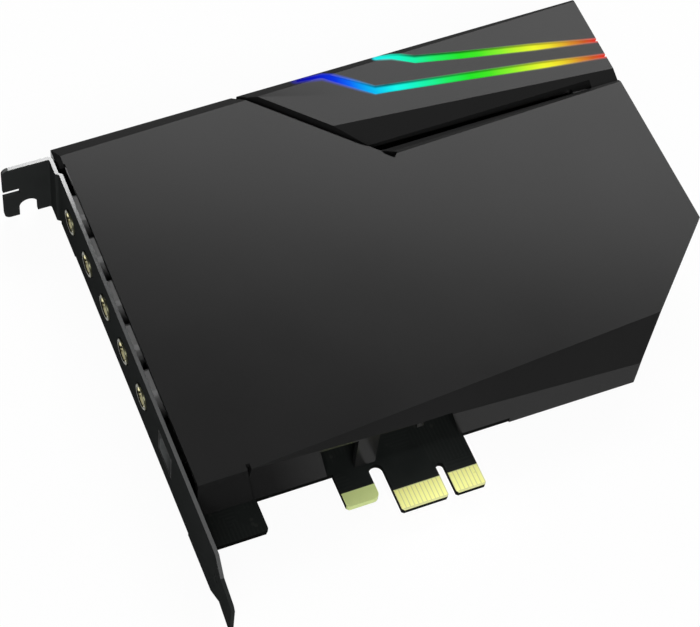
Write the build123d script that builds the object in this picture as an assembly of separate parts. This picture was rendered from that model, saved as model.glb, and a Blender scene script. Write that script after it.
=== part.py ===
from build123d import *
import math
import os

# Plug-in sound card lying flat with its cover up, in millimetres.
# Origin: centre of the key notch on the card edge, at the board's mid-plane.
# +X runs away from the bracket, +Y away from the card edge, +Z is the component side.

# Circuit board
board_thick = 1.57
board_gap = 0.54
board_right = 72.5
board_high = 106.0
board_low = 13.6
board_corner_slant = 33.0
foot_width = 14.6
foot_low = 5.5
foot_chamfer = 0.6
hole_gap = 0.15

# Card edge
finger_pitch = 1.0
finger_width = 0.78
finger_low = 0.45
finger_high = 5.2
fingers_left = 11
fingers_right = 7
finger_margin = 0.6
key_width = 1.9
key_depth = 8.4
plating = 0.05
edge_bevel_run = 0.3
edge_bevel_depth = 0.15
edge_corner = 0.5

# Locating tab beside the card edge
locating_slot = 3.3
locating_slot_depth = 12.8
locating_width = 7.9
locating_low = 4.8
locating_chamfer = 0.6
locating_round = 1.4
locating_plated_high = 8.4

# Bracket
sheet = 0.86
plate_outer = -57.4
plate_low = -3.2
plate_width = 18.42
joggle = 0.8
joggle_start = 100.3
joggle_run = 0.6
flange_top = 106.1
flange_reach = 11.4
flange_corner = 1.6
bend_radius = 0.4
ear_drop = 0.8
lower_ear_top = 12.6
upper_ear = (90.1, 100.2)
upper_taper = -2.8
lower_taper = -1.5
taper_end = -6.3
tongue_tip = -13.8
tongue_width = 10.8
tongue_middle = 5.3
tongue_corner = 0.9
tongue_lean = -0.4
notch_width = 4.4
notch_set = 5.5
notch_depth = 5.3
slit_width = 1.8
slit_depth = 4.0
slit_middle = 6.2
dimple_radius = 0.9
dimple_spot = (-3.8, 6.1)
fix_tab_spans = ((96.2, 100.2), (13.8, 22.8))
fix_tab_reach = 10.0
fix_tab_step = 2.9
fix_tab_rise_run = 1.2

# Jacks in the bracket
jack_count = 5
housing_gap = 0.34
jack_pitch = 12.4
jack_first = 92.6
jack_axis_height = 6.0
jack_width = 7.3
jack_height = 11.8
jack_length = 13.2
jack_bore = 1.8
jack_floor = 0.9
bushing_radius = 3.1
bushing_proud = 0.4
bushing_edge = 0.2
dish_radius = 2.6
dish_depth = 1.0
spigot_radius = 2.6
spigot_length = 3.2
bushing_gap = 0.2
pin_width = 0.6
pin_out = 1.5
jack_pin_front = 2.2
jack_pin_back = 9.2
jack_pin_spread = 2.4

# Optical outlet
optical_middle = 28.3
optical_width = 9.8
optical_height = 9.6
optical_depth = 13.2
port_width = 7.3
port_low = 1.2
port_high = 8.6
port_depth = 10.4
nose_wall = 0.6
nose_gap = 0.2
nose_back = 0.1
shutter_thick = 0.8
shutter_setback = 2.0
shutter_gap = 0.25
knuckle_radius = 0.85
pivot_radius = 0.4
pivot_gap = 0.05
emitter_size = 3.4
emitter_length = 1.6

# Cover
cover_top = 16.8
cover_wall = 1.5
cover_gap = 1.04
cover_right = 78.4
cover_low = 12.9
cover_slant = 38.3
corner_set = 0.4
corner_low = 101.8
top_left = 108.0
top_right = 109.7
bevel_left = 104.2
bevel_right = 109.0
bevel_fall = 0.52
left_bevel_fall = 1.4
left_bevel_run = 1.2
crease_start = (-44.3, 12.9)
crease_end = (57.9, 19.7)
crease_fall = 1.29
groove_left = 96.35
groove_right = 99.45
groove_end = -61.6
step_start = (18.5, 80.0)
step_end = (78.5, 82.5)
step_fall = 0.68
step_face = 83.5
ledge_drop = 2.4
ledge_end = 78.2
vent_under = 0.25
vent_end = 67.0
wall_foot = 1.3
relief_set = 11.2
relief_width = 0.9
relief_low = 13.4
seam_lean = 1.6
seam_width = 0.25
seam_depth = 0.3
window_left = (-24.4, -27.5)
window_right = (7.9, 3.9)
window_top = 13.0
tooth_left = -18.5
tooth_right = -13.5
tooth_low = 2.0
rib_left = -4.6
rib_right = -3.0
rib_low = 11.8
low_gap_end = 19.5
lip_low = 0.15
boss_radius = 1.9
pilot_radius = 0.85

# Light cover and its strips
light_wall = 0.9
light_left = (-6.2, 105.8)
light_tip_gap = 1.0
light_face = 85.75
light_crease_start = (7.1, 92.2)
light_crease_end = (78.2, 86.7)
light_crease_fall = 0.38
slot_end = 71.5
tab_gap = 0.15
strip_sunk = 0.4
strip_low = 0.75
strip_end = 78.1
upper_strip = ((25.0, 108.2, 1.0), (28.4, 107.3, 1.6), (33.5, 104.6, 2.4), (44.5, 102.3, 2.2),
               (63.0, 98.83, 1.9), (72.0, 97.14, 1.1), (strip_end, 96.0, 0.6))
lower_strip = ((4.2, 108.0, 0.9), (10.4, 107.0, 1.5), (20.8, 98.9, 2.5), (41.8, 96.1, 2.2),
               (63.0, 93.06, 1.9), (72.0, 91.77, 1.1), (strip_end, 90.9, 0.6))
upper_lamps = (36.0, 48.0, 60.0, 72.0)
lower_lamps = (24.0, 36.0, 48.0, 60.0, 72.0)
lamp_size = 1.6
lamp_height = 0.3
lamp_board_thick = 0.4
lamp_board_span = ((20.0, 89.0), (75.0, 104.8))
peg_radius = 1.2
peg_gap = 0.1
peg_out = 0.6
peg_spots = ((0.5, 101.5), (71.0, 106.2), (12.5, 92.5))

# Screws
screw_radius = 1.0
screw_length = 7.0
head_radius = 1.9
head_height = 1.3
fix_set = 6.04
fix_rows = (98.3, 18.2)
cover_spots = ((-34.0, 19.0), (40.0, 21.0), (66.0, 47.0), (66.0, 77.0), (-16.0, 101.0))

# Parts on the board
processor_size = (17.0, 17.0, 1.6)
processor_spot = (-2.0, 42.0)
converter_size = (10.0, 10.0, 1.4)
converter_set = 19.0
converter_row = 64.0
amplifier_size = (5.0, 6.2, 1.6)
amplifier_set = 7.0
amplifier_rows = (60.0, 72.0, 84.0, 94.0)
film_size = (7.2, 2.5, 6.5)
film_set = 19.0
film_row = 76.0
film_pitch = 5.0
film_count = 5
can_radius = 3.15
can_height = 7.7
can_base = 6.6
can_base_height = 0.9
can_base_cut = 1.4
can_start = (-6.0, 66.0)
can_pitch = (9.0, 10.0)
can_grid = (4, 3)
relay_size = (10.0, 7.5, 5.2)
relay_set = 9.0
relay_rows = (34.0, 46.0)
crystal_size = (5.0, 3.2, 1.3)
crystal_spots = ((14.0, 36.0), (-22.0, 52.0))
regulator_size = (6.6, 6.1, 2.3)
regulator_spots = ((24.0, 44.0), (34.0, 44.0), (44.0, 44.0))
inductor_size = (6.0, 6.0, 3.0)
inductor_spots = ((24.0, 30.0), (34.0, 30.0), (44.0, 32.0))
inductor_corner = 1.2
header_wall = 1.0
header_floor = 2.0
header_height = 8.6
header_pitch = 2.54
header_pin = 0.64
header_pin_set = 1.2
shroud_room = 1.9
shroud_key = 4.5
panel_rows = 2
panel_pins = 5
panel_spot = (67.6, 61.0)
strip_rows = 1
strip_pins = 4
strip_spot = (69.0, 93.0)
link_rows = 1
link_pins = 4
link_spot = (42.0, 99.3)

# Worked-out places
board_face = board_thick / 2
board_back = -board_thick / 2
plate_inner = plate_outer + sheet
plate_high = plate_low + plate_width
ear_low = plate_low - ear_drop
jack_front = plate_inner + housing_gap
jack_back = jack_front + jack_length
board_left = plate_inner + board_gap
foot_right = board_left + foot_width
cover_left = plate_inner + cover_gap
corner_left = plate_outer + corner_set
left_bevel_edge = corner_left + left_bevel_run
notch_middle = plate_outer - joggle - notch_set
relief_left = cover_left + relief_set
fix_spots = tuple((plate_inner + fix_set, y) for y in fix_rows)
converter_spot = (jack_back + converter_set, converter_row)
amplifier_spots = tuple((jack_back + amplifier_set, y) for y in amplifier_rows)
relay_spots = tuple((jack_back + relay_set, y) for y in relay_rows)
film_start = (jack_back + film_set, film_row)
jack_axis = board_face + jack_axis_height
ledge_top = cover_top - ledge_drop
card_left = -key_width / 2 - (fingers_left - 1) * finger_pitch - 2 * finger_margin
card_right = key_width / 2 + (fingers_right - 1) * finger_pitch + 2 * finger_margin
locating_right = card_left - locating_slot
locating_left = locating_right - locating_width
hinge_x = jack_front + shutter_setback
hinge_z = board_face + port_high - knuckle_radius - shutter_gap / 2
far = 300.0


# Shape helpers

def block(x0, x1, y0, y1, z0, z1):
    return Pos((x0 + x1) / 2, (y0 + y1) / 2, (z0 + z1) / 2) * Box(x1 - x0, y1 - y0, z1 - z0)


def standing(points, z0, z1):
    return extrude(Plane((0, 0, z0)) * make_face(Polyline(*points, close=True)), z1 - z0)


def across(points, y0, y1):
    # an outline in X and Z, carried along Y
    plane = Plane(origin=(0, y1, 0), x_dir=(1, 0, 0), z_dir=(0, -1, 0))
    return extrude(plane * make_face(Polyline(*points, close=True)), y1 - y0)


def along(points, x0, x1):
    # an outline in Y and Z, carried along X
    plane = Plane(origin=(x0, 0, 0), x_dir=(0, 1, 0), z_dir=(1, 0, 0))
    return extrude(plane * make_face(Polyline(*points, close=True)), x1 - x0)


def post(radius, x, y, z0, z1):
    return Pos(x, y, (z0 + z1) / 2) * Cylinder(radius, z1 - z0)


def rod_x(radius, x0, x1, y, z):
    return Pos((x0 + x1) / 2, y, z) * Rot(0, 90, 0) * Cylinder(radius, x1 - x0)


def rod_y(radius, y0, y1, x, z):
    return Pos(x, (y0 + y1) / 2, z) * Rot(90, 0, 0) * Cylinder(radius, y1 - y0)


def above_slope(start, end, fall, inset):
    # everything above a face that falls away to the right of the line, sunk by inset
    run = Vector(end[0] - start[0], end[1] - start[1], 0).normalized()
    normal = Vector(run.Y * fall, -run.X * fall, 1).normalized()
    origin = Vector(start[0], start[1], cover_top) - normal * inset
    return Plane(origin, z_dir=normal) * Box(far, far, far, align=(Align.CENTER, Align.CENTER, Align.MIN))


def top_line(x):
    return top_left + (top_right - top_left) * (x - corner_left) / (cover_right - corner_left)


def jack_y(number):
    return jack_first - number * jack_pitch


def chip(spot, size, floor=None):
    low = board_face if floor is None else floor
    reach_x = size[0] / 2
    reach_y = size[1] / 2
    return block(spot[0] - reach_x, spot[0] + reach_x, spot[1] - reach_y, spot[1] + reach_y, low,
                 low + size[2])


def group(solids):
    return Compound(children=[Solid(piece.solid().wrapped) for piece in solids])


# Places of pins and screws that pass through the board

def jack_pin_spots():
    spots = []
    for number in range(jack_count):
        y = jack_y(number)
        spots.append((jack_front + jack_pin_front, y))
        for side in (-1, 1):
            spots.append((jack_front + jack_pin_back, y + side * jack_pin_spread))
    return spots


def optical_pin_spots():
    x = jack_front + optical_depth - jack_pin_front
    return [(x, optical_middle + step * header_pitch) for step in (-1, 0, 1)]


def header_spots(spot, rows, count):
    left = spot[0] - (rows - 1) * header_pitch / 2
    first = spot[1] - (count - 1) * header_pitch / 2
    places = [(row, step) for row in range(rows) for step in range(count)]
    return [(left + row * header_pitch, first + step * header_pitch) for row, step in places]


def panel_pin_spots():
    return header_spots(panel_spot, panel_rows, panel_pins)


def strip_pin_spots():
    return header_spots(strip_spot, strip_rows, strip_pins)


def link_pin_spots():
    return header_spots(link_spot, link_rows, link_pins)


def lamp_spots():
    spots = [(x, strip_y(upper_strip, x)) for x in upper_lamps]
    return spots + [(x, strip_y(lower_strip, x)) for x in lower_lamps]


def strip_y(strip, x):
    for (x0, y0, _), (x1, y1, _) in zip(strip, strip[1:]):
        if x0 <= x <= x1:
            return y0 + (y1 - y0) * (x - x0) / (x1 - x0)
    return strip[-1][1]


# Circuit board and its plating

def board_outline():
    u_radius = locating_slot / 2
    key_radius = key_width / 2
    corner = edge_corner
    left_part = [(board_left, board_high), (board_left, foot_low), (foot_right - foot_chamfer, foot_low),
                 (foot_right, foot_low + foot_chamfer), (foot_right, board_low), (locating_left, board_low),
                 (locating_left, locating_low + locating_chamfer),
                 (locating_left + locating_chamfer, locating_low), (locating_right, locating_low),
                 (locating_right, locating_slot_depth - u_radius)]
    card_part = [(card_left, locating_slot_depth - u_radius), (card_left, corner), (card_left + corner, 0),
                 (-key_radius - corner, 0), (-key_radius, corner), (-key_radius, key_depth - key_radius)]
    right_part = [(key_radius, key_depth - key_radius), (key_radius, corner), (key_radius + corner, 0),
                  (card_right - corner, 0), (card_right, corner), (card_right, board_low),
                  (board_low + board_corner_slant, board_low),
                  (board_right, board_right - board_corner_slant), (board_right, board_high)]
    u_arc = ThreePointArc(left_part[-1], (card_left - u_radius, locating_slot_depth), card_part[0])
    key_arc = ThreePointArc(card_part[-1], (0, key_depth), right_part[0])
    closing = Line(right_part[-1], left_part[0])
    pieces = [Polyline(*left_part), u_arc, Polyline(*card_part), key_arc, Polyline(*right_part), closing]
    return make_face(pieces)


def edge_bevel(side):
    z0 = side * board_face
    return along([(0, z0), (edge_bevel_run, z0), (0, z0 - side * edge_bevel_depth)], card_left, card_right)


def make_board():
    board = extrude(Plane((0, 0, board_back)) * board_outline(), board_thick)
    rounded = board.edges().filter_by(Axis.Z).sort_by_distance((locating_right, locating_low, 0))[0]
    board = fillet(rounded, locating_round)
    board -= edge_bevel(1) + edge_bevel(-1)
    pins = [(spot, pin_width) for spot in jack_pin_spots() + optical_pin_spots()]
    for spots in (panel_pin_spots(), strip_pin_spots(), link_pin_spots()):
        pins += [(place, header_pin) for place in spots]
    holes = []
    for (x, y), width in pins:
        reach = width / 2 + hole_gap
        holes.append(block(x - reach, x + reach, y - reach, y + reach, board_back, board_face))
    for x, y in fix_spots + cover_spots:
        holes.append(post(screw_radius + hole_gap, x, y, board_back, board_face))
    return board - holes


def make_fingers(side):
    z0 = board_face if side > 0 else board_back - plating
    first = key_width / 2 + finger_margin
    places = [-first - step * finger_pitch for step in range(fingers_left)]
    places += [first + step * finger_pitch for step in range(fingers_right)]
    reach = finger_width / 2
    return group([block(x - reach, x + reach, finger_low, finger_high, z0, z0 + plating) for x in places])


def make_locating_plating(board):
    patch = block(locating_left, locating_right, locating_low, locating_plated_high, board_face - plating,
                  board_face)
    return Pos(0, 0, plating) * (patch & board)


# Bracket

def bracket_section():
    lean = tongue_lean
    jog_end = joggle_start + joggle_run
    outer = [(plate_outer + lean, tongue_tip), (plate_outer, taper_end), (plate_outer, joggle_start),
             (plate_outer - joggle, jog_end), (plate_outer - joggle, flange_top - sheet),
             (plate_outer - joggle - flange_reach, flange_top - sheet),
             (plate_outer - joggle - flange_reach, flange_top)]
    inner = [(plate_inner - joggle, flange_top), (plate_inner - joggle, jog_end),
             (plate_inner, joggle_start), (plate_inner, taper_end), (plate_inner + lean, tongue_tip)]
    return outer + inner


def tongue_cuts():
    x0 = plate_outer - 2 * sheet
    x1 = plate_inner + 2 * sheet
    low = tongue_middle - tongue_width / 2
    high = tongue_middle + tongue_width / 2
    round_off = tongue_tip + tongue_corner
    lower = [(lower_taper, ear_low), (taper_end, low), (round_off, low), (tongue_tip, low + tongue_corner),
             (tongue_tip, ear_low)]
    upper = [(upper_taper, plate_high), (taper_end, high), (round_off, high),
             (tongue_tip, high - tongue_corner), (tongue_tip, plate_high)]
    return along(lower, x0, x1) + along(upper, x0, x1)


def flange_cuts():
    y0 = flange_top - 2 * sheet
    y1 = flange_top + sheet
    radius = notch_width / 2
    notch = block(notch_middle - radius, notch_middle + radius, y0, y1, plate_low - sheet,
                  plate_low + notch_depth - radius)
    notch += rod_y(radius, y0, y1, notch_middle, plate_low + notch_depth - radius)
    edge = plate_outer - joggle - flange_reach
    slit = block(edge - sheet, edge + slit_depth, y0, y1, slit_middle - slit_width / 2,
                 slit_middle + slit_width / 2)
    return notch + slit


def fix_tab(span):
    # strip folded in from the plate's lower edge and stepped up to the solder side
    end = plate_inner + fix_tab_reach
    step = plate_inner + fix_tab_step
    rise = fix_tab_rise_run
    under = board_back - sheet
    lower = [(plate_outer, plate_low), (step, plate_low), (step + rise, under), (end, under)]
    upper = [(end, board_back), (step + rise - sheet / 2, board_back), (step - sheet / 2, plate_low + sheet),
             (plate_outer, plate_low + sheet)]
    return across(lower + upper, span[0], span[1])


def make_bracket():
    bracket = standing(bracket_section(), plate_low, plate_high)
    bends = bracket.edges().filter_by(Axis.Z)
    inside = bends.sort_by_distance((plate_outer - joggle, flange_top - sheet, 0))[0]
    outside = bends.sort_by_distance((plate_inner - joggle, flange_top, 0))[0]
    bracket = fillet(inside, bend_radius)
    bracket = fillet(bracket.edges().filter_by(Axis.Z).sort_by_distance(outside.center())[0],
                     bend_radius + sheet)
    corners = bracket.edges().filter_by(Axis.Y).group_by(Axis.X)[0]
    bracket = fillet(corners, flange_corner)
    for low, high in ((taper_end, lower_ear_top), upper_ear):
        bracket += block(plate_outer, plate_inner, low, high, ear_low, plate_low)
    for span in fix_tab_spans:
        bracket += fix_tab(span)
    bracket -= tongue_cuts() + flange_cuts()
    x0 = plate_outer - sheet
    x1 = plate_inner + sheet / 2
    for number in range(jack_count):
        bracket -= rod_x(bushing_radius + bushing_gap, x0, x1, jack_y(number), jack_axis)
    margin = nose_wall + nose_gap
    reach = port_width / 2 + margin
    bracket -= block(x0, x1, optical_middle - reach, optical_middle + reach, board_face + port_low - margin,
                     board_face + port_high + margin)
    bracket -= rod_x(dimple_radius, x0, x1, dimple_spot[0], dimple_spot[1])
    for x, y in fix_spots:
        bracket -= post(screw_radius + hole_gap, x, y, plate_low, board_face)
    return bracket


# Jacks

def make_jack(number):
    y = jack_y(number)
    body = block(jack_front, jack_front + jack_length, y - jack_width / 2, y + jack_width / 2, board_face,
                 board_face + jack_height)
    body = chamfer(body.edges().filter_by(Axis.X).group_by(Axis.Z)[-1], jack_floor)
    body -= rod_x(jack_bore, jack_front, jack_front + jack_length - jack_floor, y, jack_axis)
    return body - rod_x(spigot_radius, jack_front, jack_front + spigot_length, y, jack_axis)


def make_bushing(number):
    y = jack_y(number)
    ring = rod_x(bushing_radius, plate_outer - bushing_proud, jack_front, y, jack_axis)
    ring = chamfer(ring.edges().group_by(Axis.X)[0], bushing_edge)
    ring += rod_x(spigot_radius, jack_front, jack_front + spigot_length, y, jack_axis)
    dish = Cone(dish_radius, jack_bore, dish_depth)
    ring -= Pos(plate_outer - bushing_proud + dish_depth / 2, y, jack_axis) * Rot(0, 90, 0) * dish
    return ring - rod_x(jack_bore, plate_outer - 2 * bushing_proud, jack_front + spigot_length, y, jack_axis)


def make_pins(spots, width, low, high):
    reach = width / 2
    return group([block(x - reach, x + reach, y - reach, y + reach, low, high) for x, y in spots])


# Optical outlet with its sprung shutter

def make_optical_socket():
    reach = optical_width / 2
    port = port_width / 2
    low = board_face + port_low
    high = board_face + port_high
    body = block(jack_front, jack_front + optical_depth, optical_middle - reach, optical_middle + reach,
                 board_face, board_face + optical_height)
    body = chamfer(body.edges().filter_by(Axis.X).group_by(Axis.Z)[-1], jack_floor)
    nose = port + nose_wall
    body += block(plate_outer + nose_back, jack_front, optical_middle - nose, optical_middle + nose,
                  low - nose_wall, high + nose_wall)
    body -= block(plate_outer, jack_front + port_depth, optical_middle - port, optical_middle + port, low,
                  high)
    return body - rod_y(pivot_radius, optical_middle - reach, optical_middle + reach, hinge_x, hinge_z)


def make_shutter():
    reach = port_width / 2 - shutter_gap
    bottom = board_face + port_low + shutter_gap
    flap = block(hinge_x - shutter_thick / 2, hinge_x + shutter_thick / 2, optical_middle - reach,
                 optical_middle + reach, bottom, hinge_z)
    ends = (optical_middle - reach, optical_middle + reach)
    flap += rod_y(knuckle_radius, *ends, hinge_x, hinge_z)
    return flap - rod_y(pivot_radius + pivot_gap, *ends, hinge_x, hinge_z)


def make_optical_emitter():
    back = jack_front + port_depth
    middle = board_face + (port_low + port_high) / 2
    reach = emitter_size / 2
    body = block(back - emitter_length, back, optical_middle - reach, optical_middle + reach, middle - reach,
                 middle + reach)
    return fillet(body.edges().group_by(Axis.X)[0], reach / 4)


# Main cover

def cover_form(inset):
    # the faceted outside, or the room inside it when inset is the wall
    reach = far / 10 if inset else 0
    corner = inset * math.sqrt(2)
    low = cover_low + inset
    right = cover_right + reach
    slant = cover_slant + reach
    face = step_face - inset
    groove = groove_left - corner
    other = groove_right + corner
    end = groove_end + corner
    top = top_line(groove - top_left) - inset
    left_side = [(corner_left - reach, top_line(corner_left) - inset), (corner_left - reach, corner_low),
                 (cover_left - reach, corner_low), (cover_left - reach, low)]
    right_side = [(low + slant, low), (right, right - slant), (right, face), (other - face, face),
                  ((other + end) / 2, (other - end) / 2), ((groove + end) / 2, (groove - end) / 2),
                  (groove - top, top)]
    form = standing(left_side + right_side, board_back, cover_top - inset)
    form -= above_slope((cover_right, bevel_right), (corner_left, bevel_left), bevel_fall, inset)
    form -= above_slope(crease_start, crease_end, crease_fall, inset)
    return form - (above_slope(step_end, step_start, step_fall, inset) & right_of_groove())


def right_of_groove():
    middle = (groove_left + groove_right) / 4
    return standing([(middle - far, middle + far), (middle + far, middle - far), (far, far)], -far, far)


def ledge_form(inset):
    # the lower shelf that carries the light cover
    reach = far / 10 if inset else 0
    low = (groove_left - groove_end) / 2 - 2 * cover_wall
    left = groove_left - top_left - cover_wall
    right = ledge_end + reach
    points = [(left, top_line(left) - inset), ((groove_left + groove_end) / 2 - 2 * cover_wall, low),
              (right, low), (right, top_line(right) - inset)]
    return standing(points, board_back, ledge_top - inset)


def wall_cuts():
    # windows over the card edge, fold relief, gap under the lower wall and its lip before the board
    y0 = cover_low - cover_wall
    y1 = cover_low + cover_wall
    foot = board_face + wall_foot
    window = across([(window_left[0], board_back), (window_left[1], window_top + cover_wall),
                     (window_right[1], window_top), (window_right[0], board_back)], y0, y1)
    tooth = block(tooth_left, tooth_right, y0, y1, tooth_low, cover_top)
    rib = block(rib_left, rib_right, y0, y1, rib_low, cover_top)
    tip = relief_left + relief_width / 2
    relief = across([(relief_left, cover_top), (relief_left + relief_width, cover_top), (tip, relief_low)],
                    y0, y1)
    reach = seam_width / 2
    relief += across([(tip - reach, relief_low + seam_width), (tip + reach, relief_low + seam_width),
                      (tip + seam_lean + reach, foot), (tip + seam_lean - reach, foot)],
                     y0, cover_low + seam_depth)
    gap = block(cover_left - cover_wall, low_gap_end, y0, y1, board_back, foot)
    rest = block(low_gap_end, cover_right, board_low - hole_gap, y1, board_back, board_face)
    rest += block(low_gap_end, cover_right, y0, board_low, board_back, lip_low)
    return (window - tooth - rib) + relief + gap + rest


def vent():
    # slot below the light cover, slanted with the groove at its left end
    back = light_face + vent_under
    points = [(groove_right - step_face, step_face), (vent_end, step_face), (vent_end, back),
              (groove_right - back, back)]
    return standing(points, board_face, cover_top)


def make_main_cover():
    outside = cover_form(0) + ledge_form(0)
    left_bevel = [(left_bevel_edge, cover_top), (left_bevel_edge - left_bevel_fall, cover_top - ledge_drop),
                  (left_bevel_edge - 2 * left_bevel_fall, cover_top)]
    outside -= across(left_bevel, corner_low, top_right)
    bosses = [post(boss_radius, x, y, board_face, cover_top) for x, y in fix_spots + cover_spots]
    bosses = [boss & outside for boss in bosses]
    cover = outside - cover_form(cover_wall) - ledge_form(cover_wall)
    cover -= wall_cuts()
    cover -= vent()
    for boss in bosses:
        cover += boss
    for x, y in fix_spots + cover_spots:
        cover -= post(pilot_radius + hole_gap, x, y, board_face, board_face + screw_length)
    for x, y in peg_spots:
        cover -= post(peg_radius + peg_gap, x, y, ledge_top - cover_wall, ledge_top)
    reach = header_pin / 2 + header_pitch
    span = (link_pins - 1) * header_pitch / 2
    cover -= block(link_spot[0] - reach, link_spot[0] + reach, link_spot[1] - span - reach,
                   link_spot[1] + span + reach, ledge_top - 2 * cover_wall, ledge_top)
    return cover


# Light cover

def light_form(inset):
    corner = inset * math.sqrt(2)
    tip = light_left[0] - (top_line(light_left[0]) - light_left[1]) * 2 + light_tip_gap
    right = cover_right - inset
    diagonal = groove_right + corner
    face = light_face + inset
    top = top_line(tip) - inset
    points = [(tip + 3 * inset, top), (diagonal - light_left[1], light_left[1]), (diagonal - face, face),
              (right, face), (right, top_line(right) - inset)]
    form = standing(points, ledge_top, cover_top - inset)
    form -= above_slope((cover_right, bevel_right), (corner_left, bevel_left), bevel_fall, inset)
    return form - above_slope(light_crease_start, light_crease_end, light_crease_fall, inset)


def end_tab():
    # closes the right end of the slot below the light cover
    tab = block(slot_end, cover_right, step_face + tab_gap, light_face + tab_gap, ledge_top, cover_top)
    return tab - above_slope(light_crease_start, light_crease_end, light_crease_fall, 0)


def ribbon(strip):
    # plan of a strip whose width changes along its bends
    left = []
    right = []
    for index, (x, y, width) in enumerate(strip):
        before = strip[max(index - 1, 0)]
        after = strip[min(index + 1, len(strip) - 1)]
        run = Vector(after[0] - before[0], after[1] - before[1], 0).normalized()
        left.append((x - run.Y * width / 2, y + run.X * width / 2))
        right.append((x + run.Y * width / 2, y - run.X * width / 2))
    return left + right[::-1]


def strip_form(strip, low, high):
    return standing(ribbon(strip), low, high)


def make_light_cover():
    room = light_form(light_wall) & block(-far, far, -far, far, ledge_top, cover_top - light_wall)
    cover = light_form(0) + end_tab() - room
    for x, y in peg_spots:
        cover += post(peg_radius, x, y, ledge_top - cover_wall - peg_out, cover_top - light_wall)
    low = cover_top - light_wall - strip_low
    for strip in (upper_strip, lower_strip):
        cover -= strip_form(strip, low, cover_top + light_wall)
        _, y, width = strip[-1]
        cover -= block(strip_end - light_wall, cover_right + light_wall, y - width / 2, y + width / 2, low,
                       cover_top + light_wall)
    return cover


def make_light_strip(strip):
    low = cover_top - light_wall - strip_low
    form = strip_form(strip, low, cover_top - strip_sunk)
    form &= block(-far, strip_end, -far, far, low, cover_top)
    return form - above_slope((cover_right, bevel_right), (corner_left, bevel_left), bevel_fall, strip_sunk)


def make_light_board():
    (x0, y0), (x1, y1) = lamp_board_span
    board = block(x0, x1, y0, y1, ledge_top, ledge_top + lamp_board_thick)
    board -= above_slope(light_crease_start, light_crease_end, light_crease_fall, light_wall + hole_gap)
    reach = header_pin / 2 + hole_gap
    for x, y in link_pin_spots():
        board -= block(x - reach, x + reach, y - reach, y + reach, ledge_top, ledge_top + lamp_board_thick)
    return board


def make_lamps():
    floor = ledge_top + lamp_board_thick
    return group([chip(spot, (lamp_size, lamp_size, lamp_height), floor) for spot in lamp_spots()])


# Headers

def make_shrouded_header(spot, pins):
    # box open at the top around its pins, with a keyway in the wall towards the bracket
    low = [min(place[axis] for place in pins) - shroud_room for axis in (0, 1)]
    high = [max(place[axis] for place in pins) + shroud_room for axis in (0, 1)]
    top = board_face + header_height
    floor = board_face + header_floor
    wall = header_wall
    body = block(low[0] - wall, high[0] + wall, low[1] - wall, high[1] + wall, board_face, top)
    body -= block(low[0], high[0], low[1], high[1], floor, top)
    body -= block(low[0] - wall, low[0], spot[1] - shroud_key / 2, spot[1] + shroud_key / 2, floor, top)
    for place in pins:
        body -= chip(place, (header_pin, header_pin, header_height))
    return body


def make_plain_header(pins):
    reach = header_pitch / 2
    x = pins[0][0]
    body = block(x - reach, x + reach, pins[0][1] - reach, pins[-1][1] + reach, board_face,
                 board_face + header_floor)
    for place in pins:
        body -= chip(place, (header_pin, header_pin, header_floor))
    return body


# Fasteners

def screw(x, y, under):
    shank = post(screw_radius, x, y, under, board_face)
    thread = post(pilot_radius, x, y, board_face, board_face + screw_length - head_height)
    head = post(head_radius, x, y, under - head_height, under)
    head = chamfer(head.edges().group_by(Axis.Z)[0], head_height / 3)
    return shank + thread + head


# Chips and other parts on the board

def make_can(x, y):
    # aluminium can on its moulded base, two corners cut to mark its poles
    base = chip((x, y), (can_base, can_base, can_base_height))
    base = chamfer(base.edges().filter_by(Axis.Z).group_by(Axis.X)[-1], can_base_cut)
    return base + post(can_radius, x, y, board_face, board_face + can_height)


def make_cans():
    cans = []
    for column in range(can_grid[0]):
        for row in range(can_grid[1]):
            x = can_start[0] + column * can_pitch[0]
            y = can_start[1] + row * can_pitch[1]
            if y < step_start[1] - can_radius or x + y > groove_right + can_pitch[1]:
                cans.append(make_can(x, y))
    return group(cans)


def make_film_capacitors():
    x, y = film_start
    return group([chip((x, y + step * film_pitch), film_size) for step in range(film_count)])


def make_inductors():
    cores = [chip(spot, inductor_size) for spot in inductor_spots]
    return group([chamfer(core.edges().filter_by(Axis.Z), inductor_corner) for core in cores])


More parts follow.
